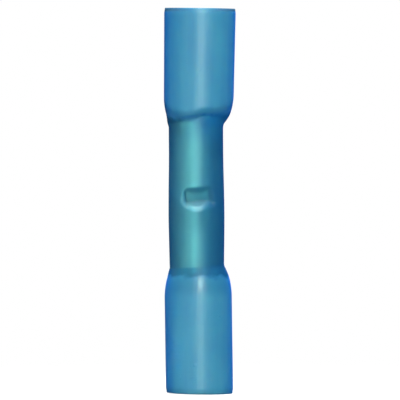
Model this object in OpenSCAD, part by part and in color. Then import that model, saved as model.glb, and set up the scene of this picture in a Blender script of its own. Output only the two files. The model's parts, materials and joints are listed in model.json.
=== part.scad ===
// Heat-shrink butt splice connector for joining two wires end to end.
// A tinned copper barrel sits in the middle of a blue sleeve. The sleeve is shrunk onto the barrel,
// so it has a waist there, and it keeps its full width as a bell at each end, where the wires go in.
// The sleeve is two layers: an insulating jacket, and a lining of hot-melt glue that seals the splice.
// Its axis is Z, it stands on the cut end of its lower bell, and the dent of the wire stop faces -Y.

/* [Sleeve] */
// Length of the sleeve, from cut end to cut end
overall_length = 37; // [32:0.5:60]
// Outside diameter of the upper bell
upper_bell_od = 6.75; // [6.2:0.05:10]
// Outside diameter of the lower bell
lower_bell_od = 6.45; // [6.2:0.05:10]
// Wall of the jacket where it isn't shrunk
jacket_wall = 0.28; // [0.16:0.02:0.36]
// Wall of the lining where it isn't shrunk
lining_wall = 0.18; // [0.1:0.02:0.24]
// Height over which the sleeve widens into the upper bell
upper_shoulder = 3; // [1.8:0.1:4]
// Height over which the sleeve widens into the lower bell
lower_shoulder = 3; // [1.8:0.1:4]
// Radius of the hollow curve between the waist and the upper shoulder
upper_crease = 1; // [0.2:0.1:1.4]
// Radius of the hollow curve between the waist and the lower shoulder
lower_crease = 0.4; // [0.2:0.1:1.4]
// How far inside the end of the barrel a shoulder starts
shoulder_lap = 0.85; // [0.2:0.05:1.5]
// Clearance between the layers, which on the real sleeve are bonded
bond_gap = 0.01; // [0.005:0.005:0.03]

/* [Barrel] */
// Length of the barrel
barrel_length = 15; // [12:0.5:18]
// Outside diameter of the barrel
barrel_od = 4; // [3.6:0.05:4.4]
// Bore that takes the stripped end of a wire
barrel_bore = 2.4; // [1.8:0.05:2.8]
// How far the middle of the barrel lies above the middle of the sleeve
barrel_rise = 0.4; // [-2:0.1:2]
// How far the barrel lies to the left of the axis of the bells
barrel_offset = 0.27; // [0:0.01:0.4]
// Countersink at each mouth of the bore, on the radius
mouth_chamfer = 0.35; // [0.1:0.05:0.5]
// Bevel on each outer edge of the barrel
edge_bevel = 0.15; // [0.05:0.05:0.25]

/* [Wire stop] */
// Depth of the dent that stops both wires at the middle of the barrel
stop_depth = 0.65; // [0.4:0.05:0.9]
// Radius of the nose that presses the dent into the barrel
nose_radius = 1.55; // [1.2:0.05:2]
// Length of the nose across the barrel, between the centres of its round ends
nose_length = 1.55; // [0.6:0.05:2.4]
// Angle of the dent round the barrel, from the front to the right
stop_turn = 6; // [-45:1:45]
// How much the press narrows the bore from front to back at the dent
bore_squash = 0.1; // [0.06:0.02:0.2]
// How much the press narrows the bore from side to side at the dent
bore_pinch = 0.04; // [0.02:0.02:0.06]

/* [Hidden] */
$fn = 96;
// Overshoot of a cut past the face that it opens
cut = 1;
// Bands in each of the two arcs of a shoulder
arc_bands = 6;

barrel_wall = (barrel_od - barrel_bore) / 2;
barrel_middle = overall_length / 2 + barrel_rise;
waist_bottom = barrel_middle - barrel_length / 2 + shoulder_lap;
waist_top = barrel_middle + barrel_length / 2 - shoulder_lap;
upper_bell_start = waist_top + upper_shoulder;
lower_bell_end = waist_bottom - lower_shoulder;

// A tube of this wall and outside diameter keeps the area of its section when it shrinks onto a core,
// so its wall grows. This is its new outside diameter.
function shrunk_od(core_od, tube_od, wall) =
  sqrt(pow(core_od, 2) + pow(tube_od, 2) - pow(tube_od - 2 * wall, 2));

tube_od = (upper_bell_od + lower_bell_od) / 2;
waist_lining_od = shrunk_od(barrel_od, tube_od - 2 * jacket_wall, lining_wall);
waist_od = shrunk_od(waist_lining_od, tube_od, jacket_wall);

// The nose's radius as it shows through the lining, and through both layers
lining_nose = nose_radius - (waist_lining_od - barrel_od) / 2;
jacket_nose = nose_radius - (waist_od - barrel_od) / 2;
// Height of the bump that the dent raises inside the bore, above and below its middle
bump_nose = nose_radius + barrel_wall;
bump_reach = sqrt(2 * bump_nose * stop_depth - pow(stop_depth, 2));

// Outline of a shoulder, from a waist at height 0 up to a bell: a hollow arc that leaves the waist
// smoothly, then a full arc of the same sweep that meets the bell smoothly
function ogee(waist_r, bell_r, height, crease_r) =
  let (
    flare = bell_r - waist_r,
    sweep = 2 * atan(flare / height),
    full_r = height / sin(sweep) - crease_r,
    angles = [for (i = [0 : arc_bands]) sweep * i / arc_bands]
  )
  concat(
    [for (a = angles) [waist_r + crease_r * (1 - cos(a)), crease_r * sin(a)]],
    [for (i = [arc_bands - 1 : -1 : 0])
      [bell_r - full_r * (1 - cos(angles[i])), height - full_r * sin(angles[i])]]
  );

// Shoulder of the sleeve, from a waist at the origin up to a bell that stands aside by lean
module shoulder(waist_r, bell_r, height, crease_r, lean) {
  multmatrix([[1, 0, lean / height, 0], [0, 1, 0, 0], [0, 0, 1, 0]])
    rotate_extrude()
      polygon(concat([[0, 0]], ogee(waist_r, bell_r, height, crease_r), [[0, height]]));
}

// The solid inside one surface of the sleeve. Past its ends it runs on by over.
module sleeve_form(waist_r, upper_r, lower_r, over) {
  translate([-barrel_offset, 0, waist_bottom])
    cylinder(r = waist_r, h = waist_top - waist_bottom);
  translate([-barrel_offset, 0, waist_top])
    shoulder(waist_r, upper_r, upper_shoulder, upper_crease, barrel_offset);
  translate([0, 0, upper_bell_start])
    cylinder(r = upper_r, h = overall_length - upper_bell_start + over);
  translate([-barrel_offset, 0, waist_bottom])
    mirror([0, 0, 1])
      shoulder(waist_r, lower_r, lower_shoulder, lower_crease, barrel_offset);
  translate([0, 0, -over])
    cylinder(r = lower_r, h = lower_bell_end + over);
}

// The press's nose where it has made the dent: a bar across the barrel with round ends
module nose(r) {
  translate([-barrel_offset, 0, barrel_middle])
    rotate([0, 0, stop_turn])
      translate([0, stop_depth - nose_radius - barrel_od / 2, 0])
        rotate([0, 90, 0])
          rotate_extrude()
            intersection() {
              translate([0, -nose_length / 2 - r])
                square([r, nose_length + 2 * r]);
              union() {
                translate([0, -nose_length / 2])
                  square([r, nose_length]);
                for (end = [-1, 1])
                  translate([0, end * nose_length / 2])
                    circle(r = r);
              }
            }
}

// Insulating jacket of the sleeve
module heat_shrink_jacket() {
  color([0.25, 0.55, 0.75, 0.7])
    difference() {
      sleeve_form(waist_od / 2, upper_bell_od / 2, lower_bell_od / 2, 0);
      nose(jacket_nose);
      difference() {
        sleeve_form(waist_lining_od / 2 + bond_gap, upper_bell_od / 2 - jacket_wall,
                    lower_bell_od / 2 - jacket_wall, cut);
        nose(lining_nose - bond_gap);
      }
    }
}

// Hot-melt lining, bonded to the inside of the jacket from end to end
module adhesive_lining() {
  outer_wall = jacket_wall + bond_gap;
  inner_wall = jacket_wall + lining_wall;
  color([0.85, 0.9, 0.92, 0.6])
    difference() {
      sleeve_form(waist_lining_od / 2, upper_bell_od / 2 - outer_wall, lower_bell_od / 2 - outer_wall, 0);
      nose(lining_nose);
      difference() {
        sleeve_form(barrel_od / 2 + bond_gap, upper_bell_od / 2 - inner_wall,
                    lower_bell_od / 2 - inner_wall, cut);
        nose(nose_radius - bond_gap);
      }
    }
}

// Half of the barrel's section, from its middle to one end: a web that the stop is made from, the bore
// with its countersunk mouth, and the outer wall with its bevelled edge
function barrel_outline(end) =
  let (
    bore_r = barrel_bore / 2,
    half = barrel_length / 2
  )
  [for (p = [
    [0, bump_reach],
    [bore_r, bump_reach],
    [bore_r, half - mouth_chamfer],
    [bore_r + mouth_chamfer, half],
    [barrel_od / 2 - edge_bevel, half],
    [barrel_od / 2, half - edge_bevel]
  ]) [p[0], end * p[1]]];

// The bore past the dent, which the press has made slightly oval
module oval_bore() {
  scale([1 - 2 * bore_pinch / barrel_bore, 1 - 2 * bore_squash / barrel_bore, 1])
    cylinder(d = barrel_bore, h = 2 * bump_reach + cut, center = true);
}

// Tin-plated copper tube, open from end to end except for the bump of the wire stop
module crimp_barrel() {
  upper = barrel_outline(1);
  lower = barrel_outline(-1);
  color([0.78, 0.79, 0.8])
    difference() {
      translate([-barrel_offset, 0, barrel_middle])
        rotate_extrude()
          polygon(concat(upper, [for (i = [len(lower) - 1 : -1 : 0]) lower[i]]));
      nose(nose_radius);
      difference() {
        translate([-barrel_offset, 0, barrel_middle])
          rotate([0, 0, stop_turn])
            oval_bore();
        nose(bump_nose);
      }
    }
}

heat_shrink_jacket();
adhesive_lining();
crimp_barrel();
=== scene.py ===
import json
import math
import bpy
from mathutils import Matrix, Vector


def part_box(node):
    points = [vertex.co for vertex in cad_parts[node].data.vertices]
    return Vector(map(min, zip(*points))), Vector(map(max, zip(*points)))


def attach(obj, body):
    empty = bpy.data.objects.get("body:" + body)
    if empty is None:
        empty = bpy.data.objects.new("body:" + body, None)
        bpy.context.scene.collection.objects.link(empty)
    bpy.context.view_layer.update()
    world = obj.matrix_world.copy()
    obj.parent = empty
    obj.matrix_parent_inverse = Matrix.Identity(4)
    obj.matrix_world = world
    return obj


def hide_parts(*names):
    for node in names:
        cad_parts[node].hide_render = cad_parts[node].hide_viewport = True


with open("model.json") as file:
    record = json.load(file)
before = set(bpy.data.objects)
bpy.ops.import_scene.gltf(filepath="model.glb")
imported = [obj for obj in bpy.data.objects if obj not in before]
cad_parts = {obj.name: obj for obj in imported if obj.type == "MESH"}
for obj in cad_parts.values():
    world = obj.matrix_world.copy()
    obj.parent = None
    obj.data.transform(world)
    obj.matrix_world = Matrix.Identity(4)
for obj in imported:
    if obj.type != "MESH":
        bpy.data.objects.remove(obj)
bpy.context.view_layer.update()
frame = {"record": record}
scene = bpy.context.scene
MM = 0.001


# Crimp barrel
# A length of seamless copper tube, tin-plated, with countersunk mouths and bevelled edges. A press has
# dented it across its middle, so that both wires stop there. The sleeve is shrunk onto it.

class Wire:
    """A socket in a node tree. Arithmetic on it adds Math nodes."""

    def __init__(self, tree, socket=None):
        self.tree = tree
        self.socket = socket

    def add(self, kind, settings=None, sockets=None):
        """Adds a node: its settings first, then the values or links of its sockets."""
        node = self.tree.nodes.new(kind)
        for name, value in (settings or {}).items():
            setattr(node, name, value)
        for key, value in (sockets or {}).items():
            if isinstance(value, Wire):
                self.tree.links.new(value.socket, node.inputs[key])
            else:
                node.inputs[key].default_value = value
        return Wire(self.tree, node.outputs[0] if node.outputs else None)

    def out(self, key):
        """Another output of the same node."""
        return Wire(self.tree, self.socket.node.outputs[key])

    def math(self, operation, *values):
        return self.add("ShaderNodeMath", {"operation": operation}, dict(enumerate((self, *values))))

    def __add__(self, other):
        return self.math("ADD", other)

    def __radd__(self, other):
        return self.math("ADD", other)

    def __neg__(self):
        return self.math("MULTIPLY", -1.0)

    def __sub__(self, other):
        return self.math("SUBTRACT", other)

    def __rsub__(self, other):
        return self.math("MULTIPLY_ADD", -1.0, other)

    def __mul__(self, other):
        return self.math("MULTIPLY", other)

    def __rmul__(self, other):
        return self.math("MULTIPLY", other)

    def __truediv__(self, other):
        return self.math("DIVIDE", other)

    def clamped(self, low, high):
        return self.math("MAXIMUM", low).math("MINIMUM", high)

    def blend(self, a, b):
        """A colour between a and b, by this value."""
        mix = self.add("ShaderNodeMix", {"data_type": "RGBA"}, {0: self, 6: a, 7: b})
        return mix.out(2)


def sized_tree(name, sizes):
    """A geometry tree with one named input for each size, and those inputs as wires."""
    tree = bpy.data.node_groups.new(name, "GeometryNodeTree")
    tree.interface.new_socket("Geometry", in_out="OUTPUT", socket_type="NodeSocketGeometry")
    for size, value in sizes.items():
        kind = "NodeSocketInt" if isinstance(value, int) else "NodeSocketFloat"
        tree.interface.new_socket(size, in_out="INPUT", socket_type=kind)
    inputs = tree.nodes.new("NodeGroupInput")
    return tree, {size: Wire(tree, inputs.outputs[size]) for size in sizes}


def grown(tree, sizes):
    """A plain mesh object that the tree makes from these sizes."""
    piece = bpy.data.objects.new(tree.name, bpy.data.meshes.new(tree.name))
    scene.collection.objects.link(piece)
    modifier = piece.modifiers.new(tree.name, "NODES")
    modifier.node_group = tree
    for item in tree.interface.items_tree:
        if item.name in sizes:
            modifier[item.identifier] = sizes[item.name]
    mesh = bpy.data.meshes.new_from_object(piece.evaluated_get(bpy.context.evaluated_depsgraph_get()))
    piece.modifiers.remove(modifier)
    piece.data = mesh
    return piece


def pressed_tube(name, sizes, outer, inner, middle, material):
    """A closed tube along Z, dented by the press. outer and inner give a wall's radius at a height and at
    shares of the way to the front and to the right, and middle gives its axis. The rows run up the outer
    wall and down the inner one."""
    tree, size = sized_tree(name, sizes)
    rows = size["Outer Rows"] + size["Inner Rows"]
    grid = Wire(tree).add("GeometryNodeMeshGrid", None, {
        "Size X": 1.0, "Size Y": 1.0, "Vertices X": size["Columns"] + 1, "Vertices Y": rows + 1})
    place = grid.add("GeometryNodeInputPosition")
    across = grid.add("ShaderNodeSeparateXYZ", None, {0: place})
    turn = (0.5 - across) * (2 * math.pi)
    turn = turn + size["Crowding"] * turn.math("SINE")
    row = (across.out(1) + 0.5) * rows
    inside = row.math("GREATER_THAN", size["Outer Rows"] - 0.5) * row.math("LESS_THAN", rows - 0.5)
    closing = row.math("GREATER_THAN", rows - 0.5)
    rising = row / (size["Outer Rows"] - 1) * (1 - inside) * (1 - closing)
    falling = (1 - (row - size["Outer Rows"]) / (size["Inner Rows"] - 1)) * inside
    share = rising + falling
    wave = 2 * math.pi * (share - 0.5)
    share = share - size["Crowding"] / (2 * math.pi) * wave.math("SINE")
    height = size["Bottom"] + share * (size["Top"] - size["Bottom"])

    front = -turn.math("COSINE")
    side = turn.math("SINE")
    radius = outer(height, size, front, side) * (1 - inside) + inner(height, size, front, side) * inside
    axis = middle(height, size, inside)
    x = radius * side
    y = -radius * front

    # The dent: a pocket with a sloping floor, a ramp above it, a wall below it and at its ends, and soft
    # lips. It runs out on the right, so each of its features changes over its own stretch of the way there.
    cos_turn = math.cos(STOP_TURN)
    sin_turn = math.sin(STOP_TURN)
    sideways = x * cos_turn + y * sin_turn
    forward = x * sin_turn - y * cos_turn
    rise = height - size["Dent Height"]
    aside = sideways / radius
    right_floor = eased(aside + 0.5)
    right_end = eased(4 * aside)
    right_wall = eased(2.5 * aside)
    right_lip = eased(2 * aside)
    left_top = eased(0.5 - 3 * aside)
    left_ridge = eased(1 - 3 * aside)
    flat = size["Left Flatness"] + (size["Right Flatness"] - size["Left Flatness"]) * right_floor
    floor = size["Press"] - flat * (radius - forward) - size["Floor Tilt"] * rise
    ramp = (size["Dent Top"] - rise) * size["Ramp Slope"]
    right = aside.math("MAXIMUM", 0.0)
    from_low = rise + size["Dent Bottom"] - right * right * size["Right Cut"]
    reach = size["Dent Reach"] + size["Right Reach"] * right_end
    from_end = (reach - aside.math("ABSOLUTE")) * radius * size["End Slope"]
    low_cut = (size["Round End"] - from_low).math("MAXIMUM", 0.0)
    end_cut = (size["Round End"] - from_end).math("MAXIMUM", 0.0)
    top_cut = (size["Round End"] - size["Dent Top"] + rise).math("MAXIMUM", 0.0) * left_top
    all_cuts = low_cut * low_cut + end_cut * end_cut + top_cut * top_cut
    from_edge = size["Round End"] - all_cuts.math("SQRT")
    wall = from_edge * size["Wall Slope"] * (1 - size["Right Easing"] * right_wall)
    depth = floor.math("SMOOTH_MIN", ramp, size["Corner"]).math("SMOOTH_MIN", wall, size["Corner"])
    depth = depth.math("SMOOTH_MAX", 0.0, size["Lip"] * (1 + right_lip))

    # The ridge that the press has raised below the dent and on its left. The same rule leaves a shallow
    # groove at the back.
    from_ridge = from_edge / size["Ridge Width"] + size["Ridge Offset"]
    ridge = size["Ridge"] * eased(1 - from_ridge.math("MAXIMUM", -size["Ridge Skirt"] * from_ridge))
    ridge = ridge * eased((size["Dent Top"] - rise) / size["Dent Top"] - size["Ridge Fade"]) * left_ridge
    pushed = forward - depth + ridge
    x = sideways * cos_turn + pushed * sin_turn
    y = sideways * sin_turn - pushed * cos_turn

    # The ends aren't cut quite square
    near_top = eased((height - size["Top"]) / SLANT_FADE + 1)
    near_bottom = eased((size["Bottom"] - height) / SLANT_FADE + 1)
    raised = near_bottom * size["Bottom Slant"] * (radius - x)
    lowered = near_top * size["Top Slant"] * (radius + x)
    where = grid.add("ShaderNodeCombineXYZ", None, {0: axis + x, 1: y, 2: height + raised - lowered})
    shaped = grid.add("GeometryNodeSetPosition", None, {"Geometry": grid, "Position": where})
    welded = grid.add("GeometryNodeMergeByDistance", None, {"Geometry": shaped, "Distance": WELD})
    smooth = grid.add("GeometryNodeSetShadeSmooth", None, {"Geometry": welded})
    real = grid.add("GeometryNodeRealizeInstances", None, {"Geometry": smooth})
    dressed = grid.add("GeometryNodeSetMaterial", None, {"Geometry": real, "Material": material})
    grid.add("NodeGroupOutput", None, {"Geometry": dressed})
    return grown(tree, sizes)


def new_material(name):
    """A material with one Principled shader, and a wire to build its maths on."""
    material = bpy.data.materials.new(name)
    material.use_nodes = True
    shader = material.node_tree.nodes["Principled BSDF"]
    return material, shader, Wire(material.node_tree)


def plug(wire, node, key):
    """Links a wire to an input of a node."""
    wire.tree.links.new(wire.socket, node.inputs[key])


def mottle(place, scale, detail):
    """A noise over the object's own coordinates."""
    return place.add("ShaderNodeTexNoise", None, {"Vector": place, "Scale": scale, "Detail": detail})


def eased(share):
    """A smooth step from 0 to 1, while the share goes from 0 to 1."""
    share = share.clamped(0.0, 1.0)
    return share * share * (3 - 2 * share)


WELD = 0.001 * MM
SLANT_FADE = 3.0 * MM
WAIST_LEAN = -0.0072
BARREL_SHIFT = 0.2 * MM
SWELL = 0.075 * MM
SWELL_HEIGHT = 17.3 * MM
SWELL_REACH = 6.0 * MM
STOP_TURN = math.radians(7)
EDGE_BEVEL = 0.15 * MM
MOUTH_CHAMFER = 0.35 * MM

barrel_low, barrel_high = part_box("crimp_barrel")
barrel_radius = (barrel_high[0] - barrel_low[0]) / 2
barrel_axis = (barrel_high[0] + barrel_low[0]) / 2
barrel_middle = (barrel_high[2] + barrel_low[2]) / 2
mounts = {mount["name"]: mount for mount in frame["record"]["mounts"]}
bore_radius = mounts["upper_wire_bore"]["dims"]["r_mm"] * MM


def swell(height):
    """How much the press has spread the barrel at a height, beside the dent."""
    return SWELL * eased(1 - ((height - SWELL_HEIGHT) / SWELL_REACH).math("ABSOLUTE"))


def barrel_outer(height, size, front, side):
    from_end = (height - size["Bottom"]).math("MINIMUM", size["Top"] - height)
    return size["Radius"] + swell(height) - (size["Edge Bevel"] - from_end).math("MAXIMUM", 0.0)


def barrel_inner(height, size, front, side):
    from_end = (height - size["Bottom"]).math("MINIMUM", size["Top"] - height)
    return size["Bore Radius"] + (size["Mouth Chamfer"] - from_end).math("MAXIMUM", 0.0)


def barrel_line(height, size, inside):
    return barrel_axis - BARREL_SHIFT + WAIST_LEAN * (height - barrel_middle)


tin, tin_shader, tin_wire = new_material("tin_plating")
tin_place = tin_wire.add("ShaderNodeTexCoord").out("Object")
tin_drawn = tin_wire.add("ShaderNodeMapping", None, {"Vector": tin_place, "Scale": (9000, 9000, 120)})
tin_lines = mottle(tin_drawn, 1.0, 3.0)
tin_cloud = mottle(tin_place, 700.0, 4.0)
plug(tin_cloud.blend((0.78, 0.79, 0.78, 1), (0.9, 0.9, 0.88, 1)), tin_shader, "Base Color")
plug(0.43 + 0.14 * tin_lines, tin_shader, "Roughness")
tin_bump = tin_wire.add("ShaderNodeBump", None, {
    "Strength": 0.25, "Distance": 0.004 * MM, "Height": tin_lines})
plug(tin_bump, tin_shader, "Normal")
tin_shader.inputs["Metallic"].default_value = 1.0

dent_sizes = {
    "Dent Height": barrel_middle, "Dent Top": 1.0 * MM, "Dent Bottom": 0.98 * MM, "Press": 0.54 * MM,
    "Dent Reach": 0.59, "Right Reach": 0.06, "Right Cut": 0.2 * MM, "Right Easing": 0.2,
    "Left Flatness": 0.35, "Right Flatness": 1.2, "Floor Tilt": 0.25,
    "Ramp Slope": 0.8, "Wall Slope": 1.0, "End Slope": 1.5,
    "Round End": 0.85 * MM, "Corner": 0.18 * MM, "Lip": 0.16 * MM,
    "Ridge": 0.12 * MM, "Ridge Width": 0.45 * MM, "Ridge Offset": 0.6, "Ridge Skirt": 0.22,
    "Ridge Fade": 0.3, "Crowding": 0.5,
}
barrel = pressed_tube("barrel", {
    "Bottom": barrel_low[2], "Top": barrel_high[2], "Radius": barrel_radius, "Bore Radius": bore_radius,
    "Edge Bevel": EDGE_BEVEL, "Mouth Chamfer": MOUTH_CHAMFER,
    **dent_sizes,
    "Top Slant": 0.0, "Bottom Slant": 0.0, "Outer Rows": 201, "Inner Rows": 151, "Columns": 128,
}, barrel_outer, barrel_inner, barrel_line, tin)
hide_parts("crimp_barrel")
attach(barrel, "root")


# Adhesive lining
# A layer of milky hot-melt glue on the inside of the jacket, from end to end. It melts when the sleeve is
# shrunk and seals the splice. At the waist it lies tight on the barrel.

UPPER_SHOULDER = 2.95 * MM
LOWER_SHOULDER = 3.0 * MM
UPPER_CREASE = 0.7 * MM
LOWER_CREASE = 0.3 * MM
SHOULDER_LAP = 0.85 * MM
WAIST_RAISE = 0.05 * MM
SHORTEST_SHOULDER = 1.1
STEP_STEEPNESS = 2.5
UPPER_BELL = 3.375 * MM
LOWER_BELL = 3.225 * MM
JACKET_WALL = 0.28 * MM
LINING_WALL = 0.18 * MM
OVERLAP = 0.015 * MM
UPPER_SWAY = 1.5 * MM
UPPER_SWAY_LAP = 0.2 * MM
LOWER_SWAY = 1.3 * MM
LOWER_SWAY_LAP = 0.1 * MM
UPPER_TAPER = 0.01
UPPER_LEAN = 0.0138
UPPER_GAUGE = 31.0 * MM
LOWER_LEAN = -0.0142
LOWER_GAUGE = 2.8 * MM
RIM_REACH = 0.5 * MM
MELT_REACH = 0.6 * MM
MELT_CREEP = 0.5 * MM
MELT_STEP = 0.9 * MM
MELT_WAVER = 1.8 * MM
MELT_LOW_LAP = 0.7
MELT_HIGH_LAP = 0.5

jacket_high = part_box("heat_shrink_jacket")[1]
sleeve_top = jacket_high[2]
waist_bottom = barrel_low[2] + SHOULDER_LAP
waist_top = barrel_high[2] - SHOULDER_LAP + WAIST_RAISE
tube_radius = (UPPER_BELL + LOWER_BELL) / 2


def shrunk(core, tube, wall):
    """Radius of a tube that keeps the area of its section when it shrinks onto a core."""
    return math.sqrt(core ** 2 + tube ** 2 - (tube - wall) ** 2)


waist_lining = shrunk(barrel_radius, tube_radius - JACKET_WALL, LINING_WALL)
waist_jacket = shrunk(waist_lining, tube_radius, JACKET_WALL)


def shoulder(climb, flare, height, crease):
    """How far the wall has flared at a climb above the waist: a hollow arc, then a full one."""
    sweep = (flare / height).math("ARCTANGENT") * 2
    full = height / sweep.math("SINE") - crease
    hollow = climb.math("MAXIMUM", 0.0).math("MINIMUM", crease * sweep.math("SINE"))
    left = (height - climb).math("MAXIMUM", 0.0).math("MINIMUM", full * sweep.math("SINE"))
    hollow_rise = crease - (crease * crease - hollow * hollow).math("SQRT")
    full_rise = (full * full - left * left).math("SQRT") - full * sweep.math("COSINE")
    return hollow_rise + full_rise


def sleeve_wall(wall):
    """The rule for the radius of the sleeve's outer or inner wall. Its upper crease slants down to the back
    and has a step at the front, where the upper shoulder is gathered into less height."""
    def radius(height, size, front, side):
        waist = size[wall + " Waist"]
        bell = size[wall + " Upper Bell"] + UPPER_TAPER * (height - UPPER_GAUGE)
        lean = size["Crease Lean"] * side
        step = size["Crease Step"] * eased(front) * (eased(0.5 + STEP_STEEPNESS * side) - 0.5)
        gathered = size["Upper Shoulder"] * (1 - size["Front Gather"] * eased(front))
        gathered = gathered.math("MAXIMUM", SHORTEST_SHOULDER * (bell - waist))
        pinched = size["Upper Crease"] * (1 - size["Front Pinch"] * eased(front))
        climb = height - size["Waist Top"] - size["Crease Slant"] * front - lean - step
        above = shoulder(climb, bell - waist, gathered, pinched)
        below = shoulder(size["Waist Bottom"] - height + lean, size[wall + " Lower Bell"] - waist,
                         size["Lower Shoulder"], size["Lower Crease"])
        from_end = height.math("MINIMUM", size["Top"] - height)
        turned_in = eased(1 - from_end / RIM_REACH) * size[wall + " Rim"]
        return waist + swell(height) + above + below - turned_in
    return radius


def sleeve_line(height, size, inside):
    """The axis of the sleeve: that of the bells at both ends, and of the barrel at the waist."""
    above = eased((height - size["Waist Top"] + UPPER_SWAY_LAP) / UPPER_SWAY)
    below = eased((size["Waist Bottom"] - height + LOWER_SWAY_LAP) / LOWER_SWAY)
    upper_line = UPPER_LEAN * (height - UPPER_GAUGE)
    lower_line = LOWER_LEAN * (height - LOWER_GAUGE)
    waist_line = barrel_line(height, size, inside) + BARREL_SHIFT * (1 - inside)
    return (1 - above - below) * waist_line + above * upper_line + below * lower_line


sleeve_sizes = {
    "Bottom": 0.0, "Top": sleeve_top, "Waist Bottom": waist_bottom, "Waist Top": waist_top,
    "Upper Shoulder": UPPER_SHOULDER, "Lower Shoulder": LOWER_SHOULDER,
    "Upper Crease": UPPER_CREASE, "Lower Crease": LOWER_CREASE,
    "Crease Slant": 0.78 * MM, "Crease Lean": 0.13 * MM, "Crease Step": 0.22 * MM,
    "Front Gather": 0.63, "Front Pinch": 0.55,
    **dent_sizes, "Top Slant": 0.013, "Bottom Slant": 0.018,
}


def melted(place, cloud):
    """1 where the glue has melted clear round the barrel, 0 in the bells. It has crept up on the right."""
    across = place.add("ShaderNodeSeparateXYZ", None, {0: place})
    ragged = mottle(place, 900.0, 3.0)
    waver = MELT_WAVER * (0.5 * cloud + 0.5 * ragged - 0.5)
    crept = MELT_CREEP * eased((across - barrel_axis) / MELT_STEP) + waver
    height = across.out(2)
    return (eased((height - barrel_low[2] - waver) / MELT_REACH + MELT_LOW_LAP) *
            eased((barrel_high[2] + crept - height) / MELT_REACH + MELT_HIGH_LAP))


glue, glue_milky, glue_wire = new_material("hot_melt_glue")
glue_place = glue_wire.add("ShaderNodeTexCoord").out("Object")
glue_cloud = mottle(glue_place, 350.0, 5.0)
plug(glue_cloud.blend((0.3, 0.56, 0.7, 1), (0.4, 0.64, 0.76, 1)), glue_milky, "Base Color")
plug(0.35 + 0.2 * glue_cloud, glue_milky, "Roughness")
glue_clear = glue_wire.add("ShaderNodeBsdfTransparent")
glue_mixed = glue_wire.add("ShaderNodeMixShader", None, {
    0: melted(glue_place, glue_cloud), 1: Wire(glue.node_tree, glue_milky.outputs[0]), 2: glue_clear})
plug(glue_mixed, glue.node_tree.nodes["Material Output"], "Surface")

lining = pressed_tube("lining", {
    **sleeve_sizes,
    "Outer Waist": waist_lining + OVERLAP, "Outer Upper Bell": UPPER_BELL - JACKET_WALL + OVERLAP,
    "Outer Lower Bell": LOWER_BELL - JACKET_WALL + OVERLAP,
    "Inner Waist": barrel_radius - OVERLAP, "Inner Upper Bell": UPPER_BELL - JACKET_WALL - LINING_WALL,
    "Inner Lower Bell": LOWER_BELL - JACKET_WALL - LINING_WALL,
    "Outer Rim": 0.0, "Inner Rim": 0.0,
    "Outer Rows": 201, "Inner Rows": 201, "Columns": 128,
}, sleeve_wall("Outer"), sleeve_wall("Inner"), sleeve_line, glue)
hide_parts("adhesive_lining")
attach(lining, "root")


# Heat-shrink jacket
# A tube of translucent blue polyolefin, cut to length. Hot air has shrunk it onto the barrel at
# the waist, and its ends keep their full width as bells. Its surface is satin from the extruder.

OUTER_RIM = 0.06 * MM
INNER_RIM = -0.02 * MM
NECK_REACH = 1.3 * MM
NECK_LAP = 1.8
CREASE_REACH = 3.5 * MM
LIP_WIDTH = 1.3 * MM
LIP_HEIGHT = 1.1 * MM
LIP_PLACE = 1.05
LIP_PEAK = 0.12
LIP_LEFT = 0.3
BELL_CLEAR = 0.12
WAIST_CLEAR = 0.54
CREASE_MILK = 0.14
LIP_MILK = 0.12

blue, blue_milky, blue_wire = new_material("blue_polyolefin")
blue_place = blue_wire.add("ShaderNodeTexCoord").out("Object")
blue_across = blue_wire.add("ShaderNodeSeparateXYZ", None, {0: blue_place})
blue_height = blue_across.out(2)
blue_drawn = blue_wire.add("ShaderNodeMapping", None, {"Vector": blue_place, "Scale": (1100, 1100, 70)})
blue_cloud = mottle(blue_place, 350.0, 5.0)
blue_streak = mottle(blue_drawn, 1.0, 3.0)
blue_scuff = mottle(blue_place, 1300.0, 1.0)
blue_melted = melted(blue_place, blue_cloud)

# Milky blue of the bells, with the extruder's grain. Just below the barrel's end the base is darker:
# painted shade in the lower crease.
blue_grain = (0.4 * blue_cloud + 0.6 * blue_streak - 0.35) * 3.5
blue_pale = blue_grain.clamped(0.0, 1.0).blend((0.043, 0.2, 0.363, 1), (0.056, 0.243, 0.384, 1))
blue_neck_shade_and_gloss = eased((blue_height - barrel_low[2]) / NECK_REACH + NECK_LAP)
blue_neck_shade_and_gloss = blue_neck_shade_and_gloss * eased((barrel_middle - blue_height) / MM)
blue_pale = blue_neck_shade_and_gloss.blend(blue_pale, (0.032, 0.17, 0.29, 1))

# Blue of the waist. The barrel lies a little to the left in the sleeve, so the wall and its tint are deeper
# on the right.
# The same gradient paints the left flank lighter and the right darker: painted shade that moves the
# highlight to the left. Below the upper crease on the right the blue is painted brighter: painted light
# from below.
blue_thickness_and_shade = eased((blue_across - barrel_axis) / (2 * waist_jacket) + 0.35 + 0.3 * blue_cloud)
blue_painted_crease_light = eased((blue_height - barrel_high[2]) / CREASE_REACH + 1) * blue_thickness_and_shade
blue_waist_with_painted_light = blue_thickness_and_shade.blend((0.065, 0.28, 0.51, 1), (0.025, 0.2, 0.5, 1))
blue_waist_with_painted_light = blue_painted_crease_light.blend(blue_waist_with_painted_light, (0.02, 0.3, 0.75, 1))
blue_base = (0.8 * blue_melted).blend(blue_pale, blue_waist_with_painted_light)

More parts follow.
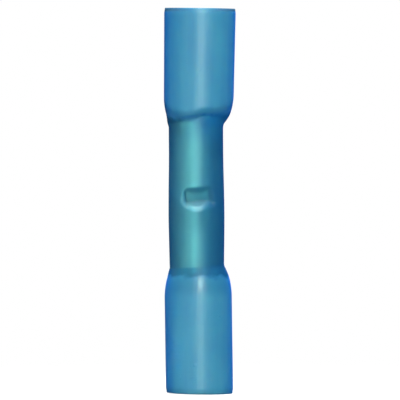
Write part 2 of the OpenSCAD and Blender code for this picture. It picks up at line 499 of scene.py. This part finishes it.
# A painted highlight along the left and lower lips of the dent, where they face up to the lights: the base
# is lightened there and the film made milkier
blue_aside = (blue_across - barrel_axis) / LIP_WIDTH
blue_rise = (blue_height - barrel_middle) / LIP_HEIGHT
blue_away = (blue_aside * blue_aside + blue_rise * blue_rise).math("SQRT")
blue_painted_lip_highlight = eased(1.4 - 4 * (blue_away - LIP_PLACE).math("ABSOLUTE")) * eased(-blue_across.out(1) / MM)
blue_painted_lip_highlight = blue_painted_lip_highlight * eased(0.4 - 1.2 * blue_rise) * eased(1.4 - 1.6 * blue_aside)
blue_peak = eased(1.4 - 2 * (blue_aside - LIP_PEAK).math("ABSOLUTE"))
blue_painted_lip_highlight = blue_painted_lip_highlight * (LIP_LEFT + (1 - LIP_LEFT) * blue_peak)
plug((0.55 * blue_painted_lip_highlight).blend(blue_base, (0.32, 0.56, 0.7, 1)), blue_milky, "Base Color")

# A satin surface, smoother where the heat has drawn it over the end of the barrel
plug(0.36 + 0.1 * blue_cloud - 0.08 * blue_neck_shade_and_gloss * (1 - blue_melted), blue_milky, "Roughness")
blue_marks = 0.5 * blue_streak + (blue_scuff - 0.72).math("MAXIMUM", 0.0) * 4
blue_bump = blue_wire.add("ShaderNodeBump", None, {
    "Strength": 0.6, "Distance": 0.12 * MM, "Height": blue_marks})
plug(blue_bump, blue_milky, "Normal")
blue_milky.inputs["Sheen Weight"].default_value = 0.75
blue_milky.inputs["Sheen Roughness"].default_value = 0.6
blue_milky.inputs["Sheen Tint"].default_value = (0.0, 0.15, 0.88, 1)
blue_milky.inputs["Subsurface Weight"].default_value = 1.0
blue_milky.inputs["Subsurface Radius"].default_value = (0.2, 0.6, 1.0)
blue_milky.inputs["Subsurface Scale"].default_value = 1.2 * MM

# The clear film at the waist, which shows the barrel. It is thicker on the right, and its deeper tint there
# also
# paints the right flank darker: painted shade that moves the barrel's highlight to the left.
blue_thin, blue_thick = (
    blue_wire.add("ShaderNodeBsdfRefraction", None, {"Color": tint, "Roughness": 0.2, "IOR": 1.5})
    for tint in ((0.45, 0.78, 0.72, 1), (0.28, 0.66, 0.72, 1)))
blue_clear = blue_wire.add("ShaderNodeMixShader", None, {0: blue_thickness_and_shade, 1: blue_thin, 2: blue_thick})
# The film is made milkier where the highlight is painted on the dent's lips and where light is painted
# below the upper crease
blue_share = BELL_CLEAR + (WAIST_CLEAR - CREASE_MILK * blue_painted_crease_light) * blue_melted - LIP_MILK * blue_painted_lip_highlight
blue_mixed = blue_wire.add("ShaderNodeMixShader", None, {
    0: blue_share, 1: Wire(blue.node_tree, blue_milky.outputs[0]), 2: blue_clear})

# A darker, matt band just below the upper rim, strongest at its sides: painted shade along the cut edge
blue_side = (blue_across / UPPER_BELL).math("ABSOLUTE")
blue_rim_shade_mask = eased(1.6 - 1.6 * (sleeve_top - blue_height) / RIM_REACH)
blue_rim_shade_mask = blue_rim_shade_mask * (0.25 + 0.75 * eased(2 * blue_side - 0.4))
blue_rim_shade_shader = blue_wire.add("ShaderNodeBsdfPrincipled", None, {
    "Base Color": blue_cloud.blend((0.04, 0.115, 0.245, 1), (0.048, 0.135, 0.28, 1)),
    "Roughness": 0.9, "Specular IOR Level": 0.0})
blue_with_rim_shade = blue_wire.add("ShaderNodeMixShader", None, {0: blue_rim_shade_mask, 1: blue_mixed, 2: blue_rim_shade_shader})
plug(blue_with_rim_shade, blue.node_tree.nodes["Material Output"], "Surface")

jacket = pressed_tube("jacket", {
    **sleeve_sizes,
    "Outer Waist": waist_jacket, "Outer Upper Bell": UPPER_BELL, "Outer Lower Bell": LOWER_BELL,
    "Inner Waist": barrel_radius - 2 * OVERLAP, "Inner Upper Bell": UPPER_BELL - JACKET_WALL,
    "Inner Lower Bell": LOWER_BELL - JACKET_WALL,
    "Outer Rim": OUTER_RIM, "Inner Rim": INNER_RIM,
    "Outer Rows": 371, "Inner Rows": 121, "Columns": 192,
}, sleeve_wall("Outer"), sleeve_wall("Inner"), sleeve_line, blue)
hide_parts("heat_shrink_jacket")
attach(jacket, "root")


# Studio
# A pale paper floor that fades into a white surround. A tall soft light and a small lamp stand beside the
# camera and others hang above and behind. Weaker ones fill in from the left and from below, the last of
# them only on the foot of the sleeve.

scene.view_settings.view_transform = "Standard"

world = bpy.data.worlds.new("studio")
scene.world = world
world.use_nodes = True
sky = Wire(world.node_tree)
surround = world.node_tree.nodes["Background"]
seen = sky.add("ShaderNodeLightPath").out("Is Camera Ray")
sky_colour = seen.blend((0.03, 0.04, 0.05, 1), (1, 1, 1, 1))
plug(sky_colour, surround, "Color")


def soft_light(name, place, aim, size, power, colour, spread=math.pi):
    """A light of this width and height in metres, and of this power in watts, turned towards a point."""
    data = bpy.data.lights.new(name, "AREA")
    data.shape = "RECTANGLE"
    data.size, data.size_y = size
    data.energy = power
    data.color = colour
    data.spread = spread
    light = bpy.data.objects.new(name, data)
    light.location = place
    towards = [a - p for a, p in zip(aim, place)]
    flat = math.hypot(towards[0], towards[1])
    light.rotation_euler = (math.pi / 2 + math.atan2(towards[2], flat), 0,
                            math.atan2(towards[1], towards[0]) - math.pi / 2)
    scene.collection.objects.link(light)
    return light


centre = (0.0, 0.0, sleeve_top / 2)
soft_light("key", (0.05, -0.45, 0.14), centre, size=(0.2, 0.4), power=2.1, colour=(0.91, 1, 0.87))
soft_light("fill", (-0.3, -0.33, 0.0), centre, size=(0.2, 0.4), power=0.3, colour=(0.75, 1, 0.95))
soft_light("lamp", (0.055, -0.42, 0.17), centre, size=(0.04, 0.04), power=0.9, colour=(0.6, 1, 0.88))
soft_light("top", (0.01, -0.12, 0.4), centre, size=(0.1, 0.08), power=2.4, colour=(1, 1, 0.78))
soft_light("back", (0.0, 0.28, 0.38), centre, size=(0.15, 0.15), power=1.6, colour=(0.9, 1, 0.95))
soft_light("bounce", (-0.06, -0.12, -0.1), centre, size=(0.2, 0.1), power=0.05, colour=(0.85, 1, 1))
foot = (-0.002, 0.0, 0.002)
low_light = soft_light("low", (-0.12, -0.03, -0.02), foot, size=(0.01, 0.01), power=0.00012,
                       colour=(1, 1, 0.88), spread=0.14)
low_light.visible_glossy = False

FLOOR_RADIUS = 0.06
FLOOR_SHOWN = 0.4
FADE_START = 0.15 * FLOOR_RADIUS
FADE_REACH = 0.8 * FLOOR_RADIUS
bpy.ops.mesh.primitive_circle_add(vertices=96, radius=FLOOR_RADIUS, fill_type="NGON")
floor = bpy.context.object
floor.name = "floor"
paper, paper_shader, paper_wire = new_material("pale_paper")
paper_place = paper_wire.add("ShaderNodeTexCoord").out("Object")
paper_reach = paper_wire.add("ShaderNodeVectorMath", {"operation": "LENGTH"}, {0: paper_place}).out("Value")
paper_alpha = FLOOR_SHOWN - FLOOR_SHOWN * eased((paper_reach - FADE_START) / FADE_REACH)
plug(paper_alpha, paper_shader, "Alpha")
paper_shader.inputs["Base Color"].default_value = (0.9, 0.9, 0.9, 1)
paper_shader.inputs["Roughness"].default_value = 0.9
paper_shader.inputs["Specular IOR Level"].default_value = 0.0
paper_shader.inputs["Emission Color"].default_value = (1, 1, 1, 1)
paper_shader.inputs["Emission Strength"].default_value = 0.5
floor.data.materials.append(paper)
floor.visible_diffuse = False
floor.visible_glossy = False
floor.visible_transmission = False

VIEW_WIDTH = 38.4 * MM
VIEW_DISTANCE = 0.52
VIEW_ELEVATION = math.radians(1.2)
VIEW_AIM = (0.08 * MM, 0.0, 18.57 * MM)
camera = bpy.data.objects.new("camera", bpy.data.cameras.new("camera"))
camera.data.lens = camera.data.sensor_width * VIEW_DISTANCE / VIEW_WIDTH
camera.location = (VIEW_AIM[0], VIEW_AIM[1] - VIEW_DISTANCE * math.cos(VIEW_ELEVATION),
                   VIEW_AIM[2] + VIEW_DISTANCE * math.sin(VIEW_ELEVATION))
camera.rotation_euler = (math.pi / 2 - VIEW_ELEVATION, 0, 0)
scene.collection.objects.link(camera)
scene.camera = camera
